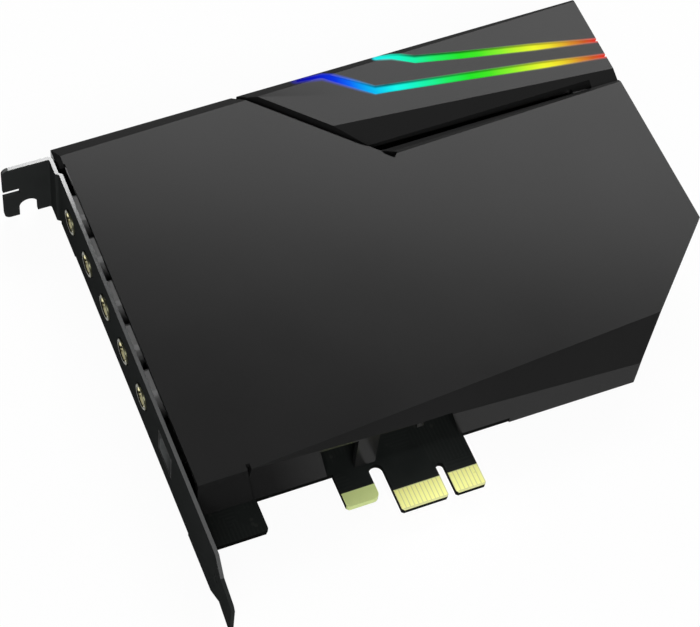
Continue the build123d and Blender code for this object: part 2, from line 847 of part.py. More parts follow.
def make_parts():
    parts = {}
    board = make_board()
    parts["circuit_board"] = board
    parts["front_edge_contacts"] = make_fingers(1)
    parts["back_edge_contacts"] = make_fingers(-1)
    parts["locating_tab_plating"] = make_locating_plating(board)
    parts["bracket"] = make_bracket()
    parts["bracket_screws"] = group([screw(x, y, board_back - sheet) for x, y in fix_spots])
    for number in range(jack_count):
        parts[f"audio_jack_{number + 1}"] = make_jack(number)
        parts[f"jack_bushing_{number + 1}"] = make_bushing(number)
    pin_low = board_back - pin_out
    parts["jack_pins"] = make_pins(jack_pin_spots(), pin_width, pin_low, board_face)
    parts["optical_socket"] = make_optical_socket()
    parts["optical_shutter"] = make_shutter()
    parts["shutter_pin"] = rod_y(pivot_radius, optical_middle - optical_width / 2,
                                 optical_middle + optical_width / 2, hinge_x, hinge_z)
    parts["optical_emitter"] = make_optical_emitter()
    parts["optical_pins"] = make_pins(optical_pin_spots(), pin_width, pin_low, board_face)
    parts["main_cover"] = make_main_cover()
    parts["cover_screws"] = group([screw(x, y, board_back) for x, y in cover_spots])
    parts["light_cover"] = make_light_cover()
    parts["light_guide_upper"] = make_light_strip(upper_strip)
    parts["light_guide_lower"] = make_light_strip(lower_strip)
    parts["light_board"] = make_light_board()
    parts["light_emitters"] = make_lamps()
    parts["light_link_header"] = make_plain_header(link_pin_spots())
    parts["light_link_pins"] = make_pins(link_pin_spots(), header_pin, pin_low, ledge_top + lamp_board_thick)
    parts["audio_processor"] = chip(processor_spot, processor_size)
    parts["converter_chip"] = chip(converter_spot, converter_size)
    parts["amplifier_chips"] = group([chip(spot, amplifier_size) for spot in amplifier_spots])
    parts["film_capacitors"] = make_film_capacitors()
    parts["electrolytic_capacitors"] = make_cans()
    parts["relays"] = group([chip(spot, relay_size) for spot in relay_spots])
    parts["crystal_oscillators"] = group([chip(spot, crystal_size) for spot in crystal_spots])
    parts["voltage_regulators"] = group([chip(spot, regulator_size) for spot in regulator_spots])
    parts["power_inductors"] = make_inductors()
    pin_high = board_face + header_height - header_pin_set
    parts["front_panel_header"] = make_shrouded_header(panel_spot, panel_pin_spots())
    parts["front_panel_pins"] = make_pins(panel_pin_spots(), header_pin, pin_low, pin_high)
    parts["light_strip_header"] = make_shrouded_header(strip_spot, strip_pin_spots())
    parts["light_strip_pins"] = make_pins(strip_pin_spots(), header_pin, pin_low, pin_high)
    return parts


os.makedirs("parts", exist_ok=True)
for name, part in make_parts().items():
    export_step(part, f"parts/{name}.step")
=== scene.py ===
import math
import random

import bmesh
import bpy
from mathutils import Matrix, Vector


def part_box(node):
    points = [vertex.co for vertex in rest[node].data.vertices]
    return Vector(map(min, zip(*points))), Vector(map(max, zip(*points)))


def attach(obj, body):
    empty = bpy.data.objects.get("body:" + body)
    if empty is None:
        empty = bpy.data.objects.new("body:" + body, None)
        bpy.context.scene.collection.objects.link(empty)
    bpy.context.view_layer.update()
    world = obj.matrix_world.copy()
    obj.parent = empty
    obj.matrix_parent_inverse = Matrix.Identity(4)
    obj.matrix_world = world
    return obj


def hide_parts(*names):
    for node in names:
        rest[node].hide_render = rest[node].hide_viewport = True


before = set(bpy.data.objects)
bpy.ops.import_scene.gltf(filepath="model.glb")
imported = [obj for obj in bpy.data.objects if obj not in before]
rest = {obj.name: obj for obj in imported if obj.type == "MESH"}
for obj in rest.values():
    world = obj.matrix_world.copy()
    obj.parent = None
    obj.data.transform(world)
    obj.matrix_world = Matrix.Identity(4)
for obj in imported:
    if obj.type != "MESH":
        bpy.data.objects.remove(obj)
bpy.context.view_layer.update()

mm = 0.001
jacks = range(1, 6)


# Small helpers for meshes

weldSpec = {"copy": 0.002, "turned": 0.001, "flat": 1.0}   # gaps in mm, angle in degrees
edgeSpec = {"least": 0.6, "sharp": 25, "smooth": 35, "upright": 0.9}   # mm, degrees, share of the run


def mergedCopy(node, flatten=True):
    bm = bmesh.new()
    bm.from_mesh(rest[node].data)
    bmesh.ops.remove_doubles(bm, verts=bm.verts, dist=weldSpec["copy"] * mm)
    if flatten:
        bmesh.ops.dissolve_limit(bm, angle_limit=math.radians(weldSpec["flat"]), verts=bm.verts[:],
                                 edges=bm.edges[:])
    return bm


def roundEdges(bm, width, segments=2, least=edgeSpec["least"], sharp=edgeSpec["sharp"]):
    # only outer corners, no short edges of holes and no facets of upright round posts
    edges = []
    for edge in bm.edges:
        if len(edge.link_faces) != 2 or not edge.is_convex or edge.calc_length() < least * mm:
            continue
        run = edge.verts[0].co - edge.verts[1].co
        onPost = abs(run.z) > edgeSpec["upright"] * run.length
        limit = max(sharp, edgeSpec["sharp"]) if onPost else sharp
        if edge.calc_face_angle(0) > math.radians(limit):
            edges.append(edge)
    bmesh.ops.bevel(bm, geom=edges, offset=width, offset_type="OFFSET", affect="EDGES",
                    segments=segments, profile=0.5, material=-1, clamp_overlap=True)


def solidsOf(node):
    # lowest and highest corner of each solid in a node, in a fixed order
    bm = mergedCopy(node)
    left = set(bm.verts)
    boxes = []
    while left:
        queue = [left.pop()]
        found = []
        while queue:
            vert = queue.pop()
            found.append(vert.co.copy())
            for edge in vert.link_edges:
                other = edge.other_vert(vert)
                if other in left:
                    left.remove(other)
                    queue.append(other)
        low = Vector([min(co[axis] for co in found) for axis in range(3)])
        high = Vector([max(co[axis] for co in found) for axis in range(3)])
        boxes.append((low, high))
    bm.free()
    return sorted(boxes, key=lambda pair: tuple(round(value, 6) for value in pair[0]))


def spinProfile(bm, profile, centre, steps=24, axis=(0, 0, 1)):
    # profile: (radius, height) points in mm, turned about an axis through centre
    out = Vector((1, 0, 0)) if abs(axis[2]) > 0.5 else Vector((0, 0, 1))
    up = Vector(axis)
    verts = [bm.verts.new(Vector(centre) + (out * r + up * h) * mm) for r, h in profile]
    edges = [bm.edges.new(pair) for pair in zip(verts, verts[1:])]
    bmesh.ops.spin(bm, geom=verts + edges, cent=centre, axis=axis, angle=math.tau, steps=steps,
                   use_merge=True, use_duplicate=False)


def closeSpin(bm):
    bmesh.ops.remove_doubles(bm, verts=bm.verts, dist=weldSpec["turned"] * mm)
    bmesh.ops.recalc_face_normals(bm, faces=bm.faces)


def addBlock(bm, low, high):
    size = Vector(high) - Vector(low)
    place = Matrix.Translation((Vector(low) + Vector(high)) / 2) @ Matrix.Diagonal((*size, 1))
    return bmesh.ops.create_cube(bm, size=1, matrix=place)["verts"]


def carve(bm, cutter):
    pair = []
    for shape in (bm, cutter):
        mesh = bpy.data.meshes.new("carving")
        shape.to_mesh(mesh)
        shape.free()
        pair.append(bpy.data.objects.new("carving", mesh))
        bpy.context.scene.collection.objects.link(pair[-1])
    cut = pair[0].modifiers.new("cut", "BOOLEAN")
    cut.operation = "DIFFERENCE"
    cut.solver = "EXACT"
    cut.object = pair[1]
    carved = bmesh.new()
    carved.from_object(pair[0], bpy.context.evaluated_depsgraph_get())
    for shape in pair:
        bpy.data.meshes.remove(shape.data)
    return carved


def makePiece(name, bm, look, nodes=(), body="card"):
    mesh = bpy.data.meshes.new(name)
    bm.to_mesh(mesh)
    bm.free()
    for material in look if isinstance(look, list) else [look]:
        mesh.materials.append(material)
    for polygon in mesh.polygons:
        polygon.use_smooth = True
    mesh.set_sharp_from_angle(angle=math.radians(edgeSpec["smooth"]))
    piece = bpy.data.objects.new(name, mesh)
    bpy.context.scene.collection.objects.link(piece)
    piece.modifiers.new("evenShading", "WEIGHTED_NORMAL").keep_sharp = True
    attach(piece, body)
    if nodes:
        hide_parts(*nodes)
    return piece


# Small helpers for materials

def addNode(tree, kind, **settings):
    node = tree.nodes.new(kind)
    for key, value in settings.items():
        setattr(node, key, value)
    return node


def join(tree, source, socket):
    # a number, colour or place is set on the socket, anything else is linked to it
    if isinstance(source, (int, float, tuple, Vector)):
        socket.default_value = source
    else:
        tree.links.new(source, socket)


def calc(tree, operation, first, second=0.0, clamp=False):
    node = addNode(tree, "ShaderNodeMath", operation=operation, use_clamp=clamp)
    join(tree, first, node.inputs[0])
    join(tree, second, node.inputs[1])
    return node.outputs[0]


def vectorCalc(tree, operation, first, second=(0.0, 0.0, 0.0), scale=1.0):
    node = addNode(tree, "ShaderNodeVectorMath", operation=operation)
    join(tree, first, node.inputs[0])
    if operation == "SCALE":
        join(tree, scale, node.inputs["Scale"])
    else:
        join(tree, second, node.inputs[1])
    return node


def remap(tree, value, low, high, toLow, toHigh, smooth=False):
    node = addNode(tree, "ShaderNodeMapRange")
    node.interpolation_type = "SMOOTHSTEP" if smooth else "LINEAR"
    join(tree, value, node.inputs["Value"])
    for name, number in (("From Min", low), ("From Max", high), ("To Min", toLow), ("To Max", toHigh)):
        node.inputs[name].default_value = number
    return node.outputs["Result"]


def blend(tree, factor, first, second):
    node = addNode(tree, "ShaderNodeMix", data_type="RGBA")
    join(tree, factor, node.inputs["Factor"])
    for source, index in ((first, 6), (second, 7)):
        if isinstance(source, tuple) and len(source) == 3:
            source = (*source, 1.0)
        join(tree, source, node.inputs[index])
    return node.outputs[2]


def blendValue(tree, factor, first, second):
    node = addNode(tree, "ShaderNodeMix", data_type="FLOAT")
    join(tree, factor, node.inputs["Factor"])
    join(tree, first, node.inputs[2])
    join(tree, second, node.inputs[3])
    return node.outputs[0]


def splitVector(tree, vector):
    node = addNode(tree, "ShaderNodeSeparateXYZ")
    join(tree, vector, node.inputs[0])
    return node.outputs


def objectPlace(tree):
    return addNode(tree, "ShaderNodeTexCoord").outputs["Object"]


def newGroup(name, inputs, outputs):
    tree = bpy.data.node_groups.new(name, "ShaderNodeTree")
    for label, kind in inputs:
        tree.interface.new_socket(label, in_out="INPUT", socket_type=kind)
    for label, kind in outputs:
        tree.interface.new_socket(label, in_out="OUTPUT", socket_type=kind)
    start = addNode(tree, "NodeGroupInput")
    end = addNode(tree, "NodeGroupOutput")
    return tree, start, end


def placeGroup(tree, group, **values):
    node = addNode(tree, "ShaderNodeGroup", node_tree=group)
    for label, value in values.items():
        join(tree, value, node.inputs[label.replace("_", " ")])
    return node


# Moulding grain and slow blotches, shared by every finish

grainSpec = {"detail": {"Fine": 2.0, "Blotch": 4.0}, "drift": (0.3, 0.7), "wear": (0.25, 0.75), "bump": 0.5}


def makeGrain(spec):
    tree, start, end = newGroup(
        "softGrain",
        [("Place", "NodeSocketVector"), ("Fine Scale", "NodeSocketFloat"),
         ("Blotch Scale", "NodeSocketFloat")],
        [("Fine", "NodeSocketFloat"), ("Blotch", "NodeSocketFloat")])
    for label, detail in spec["detail"].items():
        noise = addNode(tree, "ShaderNodeTexNoise")
        join(tree, start.outputs["Place"], noise.inputs["Vector"])
        join(tree, start.outputs[label + " Scale"], noise.inputs["Scale"])
        noise.inputs["Detail"].default_value = detail
        join(tree, noise.outputs["Fac"], end.inputs[label])
    return tree


grain = makeGrain(grainSpec)


def surface(name, look):
    # colour and shade drift with the blotches, the fine grain is bump
    material = bpy.data.materials.new(name)
    material.use_nodes = True
    tree = material.node_tree
    shader = tree.nodes["Principled BSDF"]
    shader.inputs["Metallic"].default_value = look.get("metallic", 0.0)
    shader.inputs["Specular IOR Level"].default_value = look["specular"]
    place = objectPlace(tree)
    texture = placeGroup(tree, grain, Place=place, Fine_Scale=look["fine"], Blotch_Scale=look["blotch"])
    drift = remap(tree, texture.outputs["Blotch"], *grainSpec["drift"], 0.0, 1.0)
    colour = blend(tree, drift, look["colour"], look["shade"])
    join(tree, colour, shader.inputs["Base Color"])
    low, high = look["roughness"]
    worn = remap(tree, texture.outputs["Blotch"], *grainSpec["wear"], low, high)
    join(tree, worn, shader.inputs["Roughness"])
    bump = addNode(tree, "ShaderNodeBump")
    bump.inputs["Strength"].default_value = grainSpec["bump"]
    bump.inputs["Distance"].default_value = look["bump"] * mm
    join(tree, texture.outputs["Fine"], bump.inputs["Height"])
    join(tree, bump.outputs["Normal"], shader.inputs["Normal"])
    return material, tree, shader, place, colour


coverLook = {"colour": (0.0132, 0.0132, 0.0132), "shade": (0.0142, 0.0142, 0.0142), "specular": 0.10,
             "roughness": (0.19, 0.22), "fine": 2600, "blotch": 45, "bump": 0.002}
bracketLook = {"colour": (0.0213, 0.0230, 0.0225), "shade": (0.0235, 0.0252, 0.0247), "specular": 0.0,
               "roughness": (0.5, 0.62), "fine": 3200, "blotch": 140, "bump": 0.006}
# paler copy of the bracket coat: painted light on the edges, with real gloss from its specular
bracketPaintedLitEdgeLook = {"colour": (0.070, 0.072, 0.072), "shade": (0.080, 0.082, 0.082), "specular": 1.0,
                   "roughness": (0.07, 0.1), "fine": 2400, "blotch": 900, "bump": 0.002}
boardLook = {"colour": (0.0108, 0.0125, 0.0118), "shade": (0.0142, 0.016, 0.0152), "specular": 0.06,
             "roughness": (0.34, 0.42), "fine": 1500, "blotch": 160, "bump": 0.004,
             "run": (0.017, 0.019, 0.0178), "via": (0.024, 0.0255, 0.023), "pitch": 0.9,
             "runShare": 0.55, "viaShare": 0.7, "grainShare": 0.2, "relief": 0.02,
             "bare": (0.66, 0.67, 0.31), "bareTop": (5.35, 5.43), "bareLeft": (-13.0, -12.95)}
# darker finish for the board's upright cut faces: painted shade
boardEdgeShadeLook = {"colour": (0.0035, 0.004, 0.0036), "shade": (0.005, 0.0055, 0.005), "specular": 0.02,
                 "roughness": (0.65, 0.8), "fine": 2400, "blotch": 700, "bump": 0.01}
contactLook = {"colour": (0.92, 0.93, 0.32), "shade": (0.91, 0.91, 0.31), "specular": 0.5, "metallic": 0.08,
               "roughness": (0.26, 0.36), "fine": 5200, "blotch": 420, "bump": 0.003}
platingLook = {"colour": (0.70, 0.82, 0.32), "shade": (0.74, 0.85, 0.35), "specular": 0.4, "metallic": 0.1,
               "roughness": (0.34, 0.42), "fine": 4200, "blotch": 300, "bump": 0.003}
# rim, dish and barrel finishes are shaded and lit copies of one gold: painted shade on the rim and dish, a
# painted highlight on the barrel
bushingRimShadeLook = {"colour": (0.13, 0.13, 0.08), "shade": (0.105, 0.105, 0.062), "specular": 0.5,
               "metallic": 1.0, "roughness": (0.3, 0.4), "fine": 3800, "blotch": 500, "bump": 0.002}
dishShadeLook = {"colour": (0.05, 0.05, 0.03), "shade": (0.035, 0.035, 0.02), "specular": 0.5, "metallic": 1.0,
            "roughness": (0.12, 0.2), "fine": 3800, "blotch": 500, "bump": 0.002}
barrelHighlightLook = {"colour": (1.0, 0.94, 0.56), "shade": (0.96, 0.88, 0.48), "specular": 0.5, "metallic": 1.0,
              "roughness": (0.12, 0.2), "fine": 3800, "blotch": 500, "bump": 0.002}
jackLook = {"colour": (0.40, 0.40, 0.40), "shade": (0.44, 0.44, 0.44), "specular": 0.2,
            "roughness": (0.4, 0.5), "fine": 3000, "blotch": 200, "bump": 0.006}
socketLook = dict(jackLook, colour=(0.006, 0.0065, 0.006), shade=(0.008, 0.0085, 0.008), specular=0.02)
# paler copy of the socket's dark finish for faces inside the port: painted light where the recess lies in
# shade
portPaintedLightLook = dict(jackLook, colour=(0.085, 0.09, 0.09), shade=(0.10, 0.105, 0.105), specular=0.1)
shutterLook = {"colour": (0.20, 0.212, 0.212), "shade": (0.235, 0.247, 0.247), "specular": 0.2,
               "roughness": (0.34, 0.44), "fine": 3600, "blotch": 260, "bump": 0.005}
headerLook = {"colour": (0.009, 0.009, 0.0092), "shade": (0.013, 0.013, 0.013), "specular": 0.12,
              "roughness": (0.4, 0.5), "fine": 3000, "blotch": 240, "bump": 0.006}
chipLook = {"colour": (0.012, 0.012, 0.0125), "shade": (0.017, 0.017, 0.017), "specular": 0.25,
            "roughness": (0.48, 0.6), "fine": 4200, "blotch": 200, "bump": 0.008}
tinLook = {"colour": (0.60, 0.60, 0.57), "shade": (0.52, 0.52, 0.50), "specular": 0.5, "metallic": 1.0,
           "roughness": (0.26, 0.38), "fine": 4000, "blotch": 700, "bump": 0.004}
solderLook = {"colour": (0.66, 0.66, 0.65), "shade": (0.55, 0.55, 0.54), "specular": 0.5, "metallic": 1.0,
              "roughness": (0.2, 0.36), "fine": 2600, "blotch": 900, "bump": 0.006}
screwLook = {"colour": (0.05, 0.05, 0.052), "shade": (0.08, 0.08, 0.08), "specular": 0.5, "metallic": 0.9,
             "roughness": (0.28, 0.4), "fine": 4200, "blotch": 700, "bump": 0.004}
filmLook = {"colour": (0.30, 0.024, 0.02), "shade": (0.36, 0.035, 0.026), "specular": 0.5,
            "roughness": (0.16, 0.24), "fine": 900, "blotch": 260, "bump": 0.02}
canLook = {"colour": (0.66, 0.66, 0.68), "shade": (0.58, 0.58, 0.60), "specular": 0.5, "metallic": 1.0,
           "roughness": (0.26, 0.38), "fine": 5200, "blotch": 300, "bump": 0.003}
crystalLook = {"colour": (0.70, 0.70, 0.70), "shade": (0.62, 0.62, 0.63), "specular": 0.5, "metallic": 1.0,
               "roughness": (0.2, 0.32), "fine": 3600, "blotch": 420, "bump": 0.003}
relayLook = {"colour": (0.62, 0.60, 0.53), "shade": (0.56, 0.54, 0.47), "specular": 0.4,
             "roughness": (0.35, 0.45), "fine": 2800, "blotch": 200, "bump": 0.006}
coreLook = {"colour": (0.09, 0.09, 0.095), "shade": (0.13, 0.13, 0.135), "specular": 0.3,
            "roughness": (0.5, 0.65), "fine": 2600, "blotch": 1400, "bump": 0.02}
ceramicLook = {"colour": (0.30, 0.19, 0.10), "shade": (0.38, 0.26, 0.15), "specular": 0.4,
               "roughness": (0.3, 0.45), "fine": 6000, "blotch": 260, "bump": 0.004}
lampLook = {"colour": (0.78, 0.74, 0.50), "shade": (0.85, 0.82, 0.66), "specular": 0.5,
            "roughness": (0.18, 0.26), "fine": 3000, "blotch": 900, "bump": 0.004}
emitterLook = {"colour": (0.24, 0.012, 0.012), "shade": (0.30, 0.02, 0.018), "specular": 0.5,
               "roughness": (0.1, 0.18), "fine": 2000, "blotch": 500, "bump": 0.003}

coverPlastic = surface("coverPlastic", coverLook)[0]
contactGold = surface("contactGold", contactLook)[0]
tabPlating = surface("tabPlating", platingLook)[0]
bushingRimPaintedShade = surface("bushingRimPaintedShade", bushingRimShadeLook)[0]
dishPaintedShade = surface("dishPaintedShade", dishShadeLook)[0]
barrelPaintedHighlight = surface("barrelPaintedHighlight", barrelHighlightLook)[0]
bracketCoat = surface("bracketCoat", bracketLook)[0]
bracketPaintedLitEdge = surface("bracketPaintedLitEdge", bracketPaintedLitEdgeLook)[0]
jackPlastic = surface("jackPlastic", jackLook)[0]
socketPlastic = surface("socketPlastic", socketLook)[0]
portPaintedLight = surface("portPaintedLight", portPaintedLightLook)[0]
shutterPlastic = surface("shutterPlastic", shutterLook)[0]
headerPlastic = surface("headerPlastic", headerLook)[0]
chipEpoxy = surface("chipEpoxy", chipLook)[0]
tinPlate = surface("tinPlate", tinLook)[0]
solderTin = surface("solderTin", solderLook)[0]
screwZinc = surface("screwZinc", screwLook)[0]
filmLacquer = surface("filmLacquer", filmLook)[0]
canAluminium = surface("canAluminium", canLook)[0]
crystalSteel = surface("crystalSteel", crystalLook)[0]
relayPlastic = surface("relayPlastic", relayLook)[0]
ironPowder = surface("ironPowder", coreLook)[0]
chipCeramic = surface("chipCeramic", ceramicLook)[0]
lampLens = surface("lampLens", lampLook)[0]
emitterLens = surface("emitterLens", emitterLook)[0]
boardEdgePaintedShade = surface("boardEdgePaintedShade", boardEdgeShadeLook)[0]
print("plain finishes ready")


# Light strips: colour runs along the card, brightness falls off beside each strip's centre line

stripSpec = {
    "upper": [(25.0, 108.2), (28.4, 107.3), (33.5, 104.6), (44.5, 102.3), (79.0, 95.83)],
    "lower": [(4.2, 108.0), (10.4, 107.0), (20.8, 98.9), (41.8, 96.1), (79.0, 90.77)],
    "half": 1.15, "core": 0.4, "reach": 1.25,   # half width in mm, full and no glow as shares of it
    "widening": (24.0, 17.0, 0.35), "narrowing": (62.0, 78.0, -0.35),   # from, to, change of half width
    "from": 0.0, "to": 80.0,
    "colours": [(3.0, (0.003, 0.0, 0.22)), (9.0, (0.002, 0.006, 0.55)), (13.0, (0.002, 0.034, 0.78)),
                (16.0, (0.003, 0.14, 0.95)), (20.5, (0.003, 0.5, 0.91)), (26.0, (0.008, 0.95, 0.86)),
                (32.0, (0.009, 0.92, 0.46)), (38.5, (0.016, 0.86, 0.13)), (44.5, (0.018, 0.8, 0.02)),
                (49.0, (0.055, 0.81, 0.018)), (54.5, (0.27, 0.9, 0.03)), (63.0, (0.89, 0.95, 0.032)),
                (66.5, (0.88, 0.76, 0.028)), (72.0, (0.7, 0.27, 0.028)), (75.0, (0.62, 0.12, 0.022)),
                (77.5, (0.75, 0.04, 0.022))],
}


def makeStripGlow(spec):
    tree, start, end = newGroup("stripGlow", [("Place", "NodeSocketVector")],
                                [("Colour", "NodeSocketColor"), ("Near", "NodeSocketFloat")])
    flat = vectorCalc(tree, "MULTIPLY", start.outputs["Place"], (1.0, 1.0, 0.0)).outputs[0]
    nearest = None
    for line in (spec["upper"], spec["lower"]):
        for first, second in zip(line, line[1:]):
            origin = Vector((*first, 0)) * mm
            run = Vector((*second, 0)) * mm - origin
            away = vectorCalc(tree, "SUBTRACT", flat, origin).outputs[0]
            along = vectorCalc(tree, "DOT_PRODUCT", away, run / run.length_squared).outputs["Value"]
            share = calc(tree, "ADD", along, 0.0, clamp=True)
            foot = vectorCalc(tree, "SCALE", tuple(run), scale=share).outputs[0]
            left = vectorCalc(tree, "SUBTRACT", away, foot).outputs[0]
            reach = vectorCalc(tree, "LENGTH", left).outputs["Value"]
            nearest = reach if nearest is None else calc(tree, "MINIMUM", nearest, reach)
    across = splitVector(tree, flat)["X"]
    half = spec["half"] * mm
    for x0, x1, change in (spec["widening"], spec["narrowing"]):
        half = calc(tree, "ADD", half, remap(tree, across, x0 * mm, x1 * mm, 0.0, change * mm))
    share = calc(tree, "DIVIDE", nearest, half)
    join(tree, remap(tree, share, spec["core"], spec["reach"], 1.0, 0.0, smooth=True), end.inputs["Near"])
    ramp = addNode(tree, "ShaderNodeValToRGB")
    span = spec["to"] - spec["from"]
    steps = ramp.color_ramp.elements
    while len(steps) < len(spec["colours"]):
        steps.new(0.5)
    for step, (spot, colour) in zip(steps, spec["colours"]):
        step.position = (spot - spec["from"]) / span
        step.color = (*colour, 1.0)
    join(tree, remap(tree, across, spec["from"] * mm, spec["to"] * mm, 0.0, 1.0), ramp.inputs["Fac"])
    join(tree, ramp.outputs["Color"], end.inputs["Colour"])
    return tree


stripGlow = makeStripGlow(stripSpec)
guideLook = dict(coverLook, colour=(0.0, 0.0, 0.0), shade=(0.004, 0.004, 0.004), specular=0.0, glow=1.0)
# the light cover's emission is painted light: glow from the strips painted onto the plastic round them
lightCoverPaintedGlowLook = dict(coverLook, glow=0.9)


# on the guides the emission is their own LED light; on the light cover it is painted glow
def glowingSurface(name, look):
    material, tree, shader, place, _ = surface(name, look)
    glow = placeGroup(tree, stripGlow, Place=place)
    strength = calc(tree, "MULTIPLY", glow.outputs["Near"], look["glow"])
    lit = vectorCalc(tree, "SCALE", glow.outputs["Colour"], scale=strength).outputs[0]
    join(tree, lit, shader.inputs["Emission Color"])
    shader.inputs["Emission Strength"].default_value = 1.0
    return material


lightGuide = glowingSurface("lightGuide", guideLook)
lightCoverPaintedGlow = glowingSurface("lightCoverPaintedGlow", lightCoverPaintedGlowLook)
print("light strips ready")


# Board: black mask over copper runs, bare laminate at the card edge

traceSpec = {"patches": 90, "upright": 0.4, "slanted": 0.7, "routed": 0.35, "run": (0.2, 0.26),
             "vias": 330, "via": (0.12, 0.17)}


def makeTraces(spec):
    tree, start, end = newGroup("copperRuns", [("Place", "NodeSocketVector"), ("Pitch", "NodeSocketFloat")],
                                [("Runs", "NodeSocketFloat"), ("Vias", "NodeSocketFloat")])
    place = start.outputs["Place"]
    patch = addNode(tree, "ShaderNodeTexVoronoi", distance="CHEBYCHEV")
    join(tree, place, patch.inputs["Vector"])
    patch.inputs["Scale"].default_value = spec["patches"]
    choice = addNode(tree, "ShaderNodeSeparateColor")
    join(tree, patch.outputs["Color"], choice.inputs[0])
    parts = splitVector(tree, place)
    upright = calc(tree, "GREATER_THAN", choice.outputs[0], spec["upright"])
    turned = calc(tree, "GREATER_THAN", choice.outputs[1], spec["slanted"])
    straight = blendValue(tree, upright, parts["X"], parts["Y"])
    across = blendValue(tree, turned, straight, calc(tree, "ADD", parts["X"], parts["Y"]))
    phase = calc(tree, "FRACT", calc(tree, "DIVIDE", across, start.outputs["Pitch"]))
    ridge = calc(tree, "ABSOLUTE", calc(tree, "SUBTRACT", phase, 0.5))
    runs = remap(tree, ridge, *spec["run"], 1.0, 0.0, smooth=True)
    routed = calc(tree, "GREATER_THAN", choice.outputs[2], spec["routed"])
    join(tree, calc(tree, "MULTIPLY", runs, routed), end.inputs["Runs"])
    dots = addNode(tree, "ShaderNodeTexVoronoi")
    join(tree, place, dots.inputs["Vector"])
    dots.inputs["Scale"].default_value = spec["vias"]
    join(tree, remap(tree, dots.outputs["Distance"], *spec["via"], 1.0, 0.0), end.inputs["Vias"])
    return tree


copperRuns = makeTraces(traceSpec)


def makeBoardMask(name, look, bare):
    material, tree, shader, place, colour = surface(name, look)
    flatPlace = vectorCalc(tree, "MULTIPLY", place, (1.0, 1.0, 0.0)).outputs[0]
    copper = placeGroup(tree, copperRuns, Place=flatPlace, Pitch=look["pitch"] * mm)
    runs = calc(tree, "MULTIPLY", copper.outputs["Runs"], look["runShare"])
    tinted = blend(tree, runs, colour, look["run"])
    vias = calc(tree, "MULTIPLY", copper.outputs["Vias"], look["viaShare"])
    tinted = blend(tree, vias, tinted, look["via"])
    if bare:
        parts = splitVector(tree, place)
        below = remap(tree, parts["Y"], *[y * mm for y in look["bareTop"]], 1.0, 0.0)
        right = remap(tree, parts["X"], *[x * mm for x in look["bareLeft"]], 0.0, 1.0)
        tinted = blend(tree, calc(tree, "MULTIPLY", below, right), tinted, look["bare"])
    join(tree, tinted, shader.inputs["Base Color"])
    bump = shader.inputs["Normal"].links[0].from_node
    fine = bump.inputs["Height"].links[0].from_socket
    grained = calc(tree, "MULTIPLY", fine, look["grainShare"])
    join(tree, calc(tree, "ADD", grained, copper.outputs["Runs"]), bump.inputs["Height"])
    bump.inputs["Distance"].default_value = look["relief"] * mm
    return material


boardMask = makeBoardMask("boardMask", boardLook, True)
lightBoardMask = makeBoardMask("lightBoardMask", boardLook, False)
print("board finishes ready")


# Pieces that keep the solid's form and get rounded edges

softEdge = 0.4   # mm, wider roundings get a third step
dressed = [
    # piece, node, finish, slot, edge in mm
    ("opticalShutter", "optical_shutter", shutterPlastic, "shutter_plastic", 0.12),
    ("frontPanelHeader", "front_panel_header", headerPlastic, "header_black", 0.15),
    ("lightStripHeader", "light_strip_header", headerPlastic, "header_black", 0.15),
    ("lightLinkHeader", "light_link_header", headerPlastic, "header_black", 0.12),
    ("audioProcessor", "audio_processor", chipEpoxy, "chip_black", 0.18),
    ("converterChip", "converter_chip", chipEpoxy, "chip_black", 0.15),
    ("amplifierChips", "amplifier_chips", chipEpoxy, "chip_black", 0.15),
    ("voltageRegulators", "voltage_regulators", chipEpoxy, "chip_black", 0.2),
    ("filmCapacitors", "film_capacitors", filmLacquer, "film_red", 0.7),
    ("relays", "relays", relayPlastic, "relay_plastic", 0.3),
    ("crystals", "crystal_oscillators", crystalSteel, "can_aluminium", 0.3),
    ("powerInductors", "power_inductors", ironPowder, "core_grey", 0.25),
]
dressed += [(f"jackHousing{k}", f"audio_jack_{k}", jackPlastic, "jack_plastic", 0.2) for k in jacks]
for name, node, finish, slot, edge in dressed:
    bm = mergedCopy(node)
    roundEdges(bm, edge * mm, 3 if edge > softEdge else 2)
    makePiece(name, bm, finish, [node], "shutter" if node == "optical_shutter" else "card")
print("dressed", len(dressed), "pieces")

# Bracket: dark coat; the plate's top and bottom edges and other up-facing faces get a paler, glossier copy,
# whose gloss is the shader's and whose paler colour is painted light
bracketSpec = {"edge": 0.1, "upward": 0.35, "plate": -56.4, "holes": (0.0, 12.0)}
bm = mergedCopy("bracket")
roundEdges(bm, bracketSpec["edge"] * mm)
lowest, highest = bracketSpec["holes"]
for face in bm.faces:
    middle = face.calc_center_median() / mm
    onPlate = middle.x < bracketSpec["plate"]
    inHole = onPlate and lowest < middle.z < highest
    upright = abs(face.normal.z) < bracketSpec["upward"]
    # index 1 is the paler copy with painted light, picked by which way a face points
    face.material_index = 0 if upright or inHole or (face.normal.z < 0 and not onPlate) else 1
makePiece("bracket", bm, [bracketCoat, bracketPaintedLitEdge], ["bracket"])

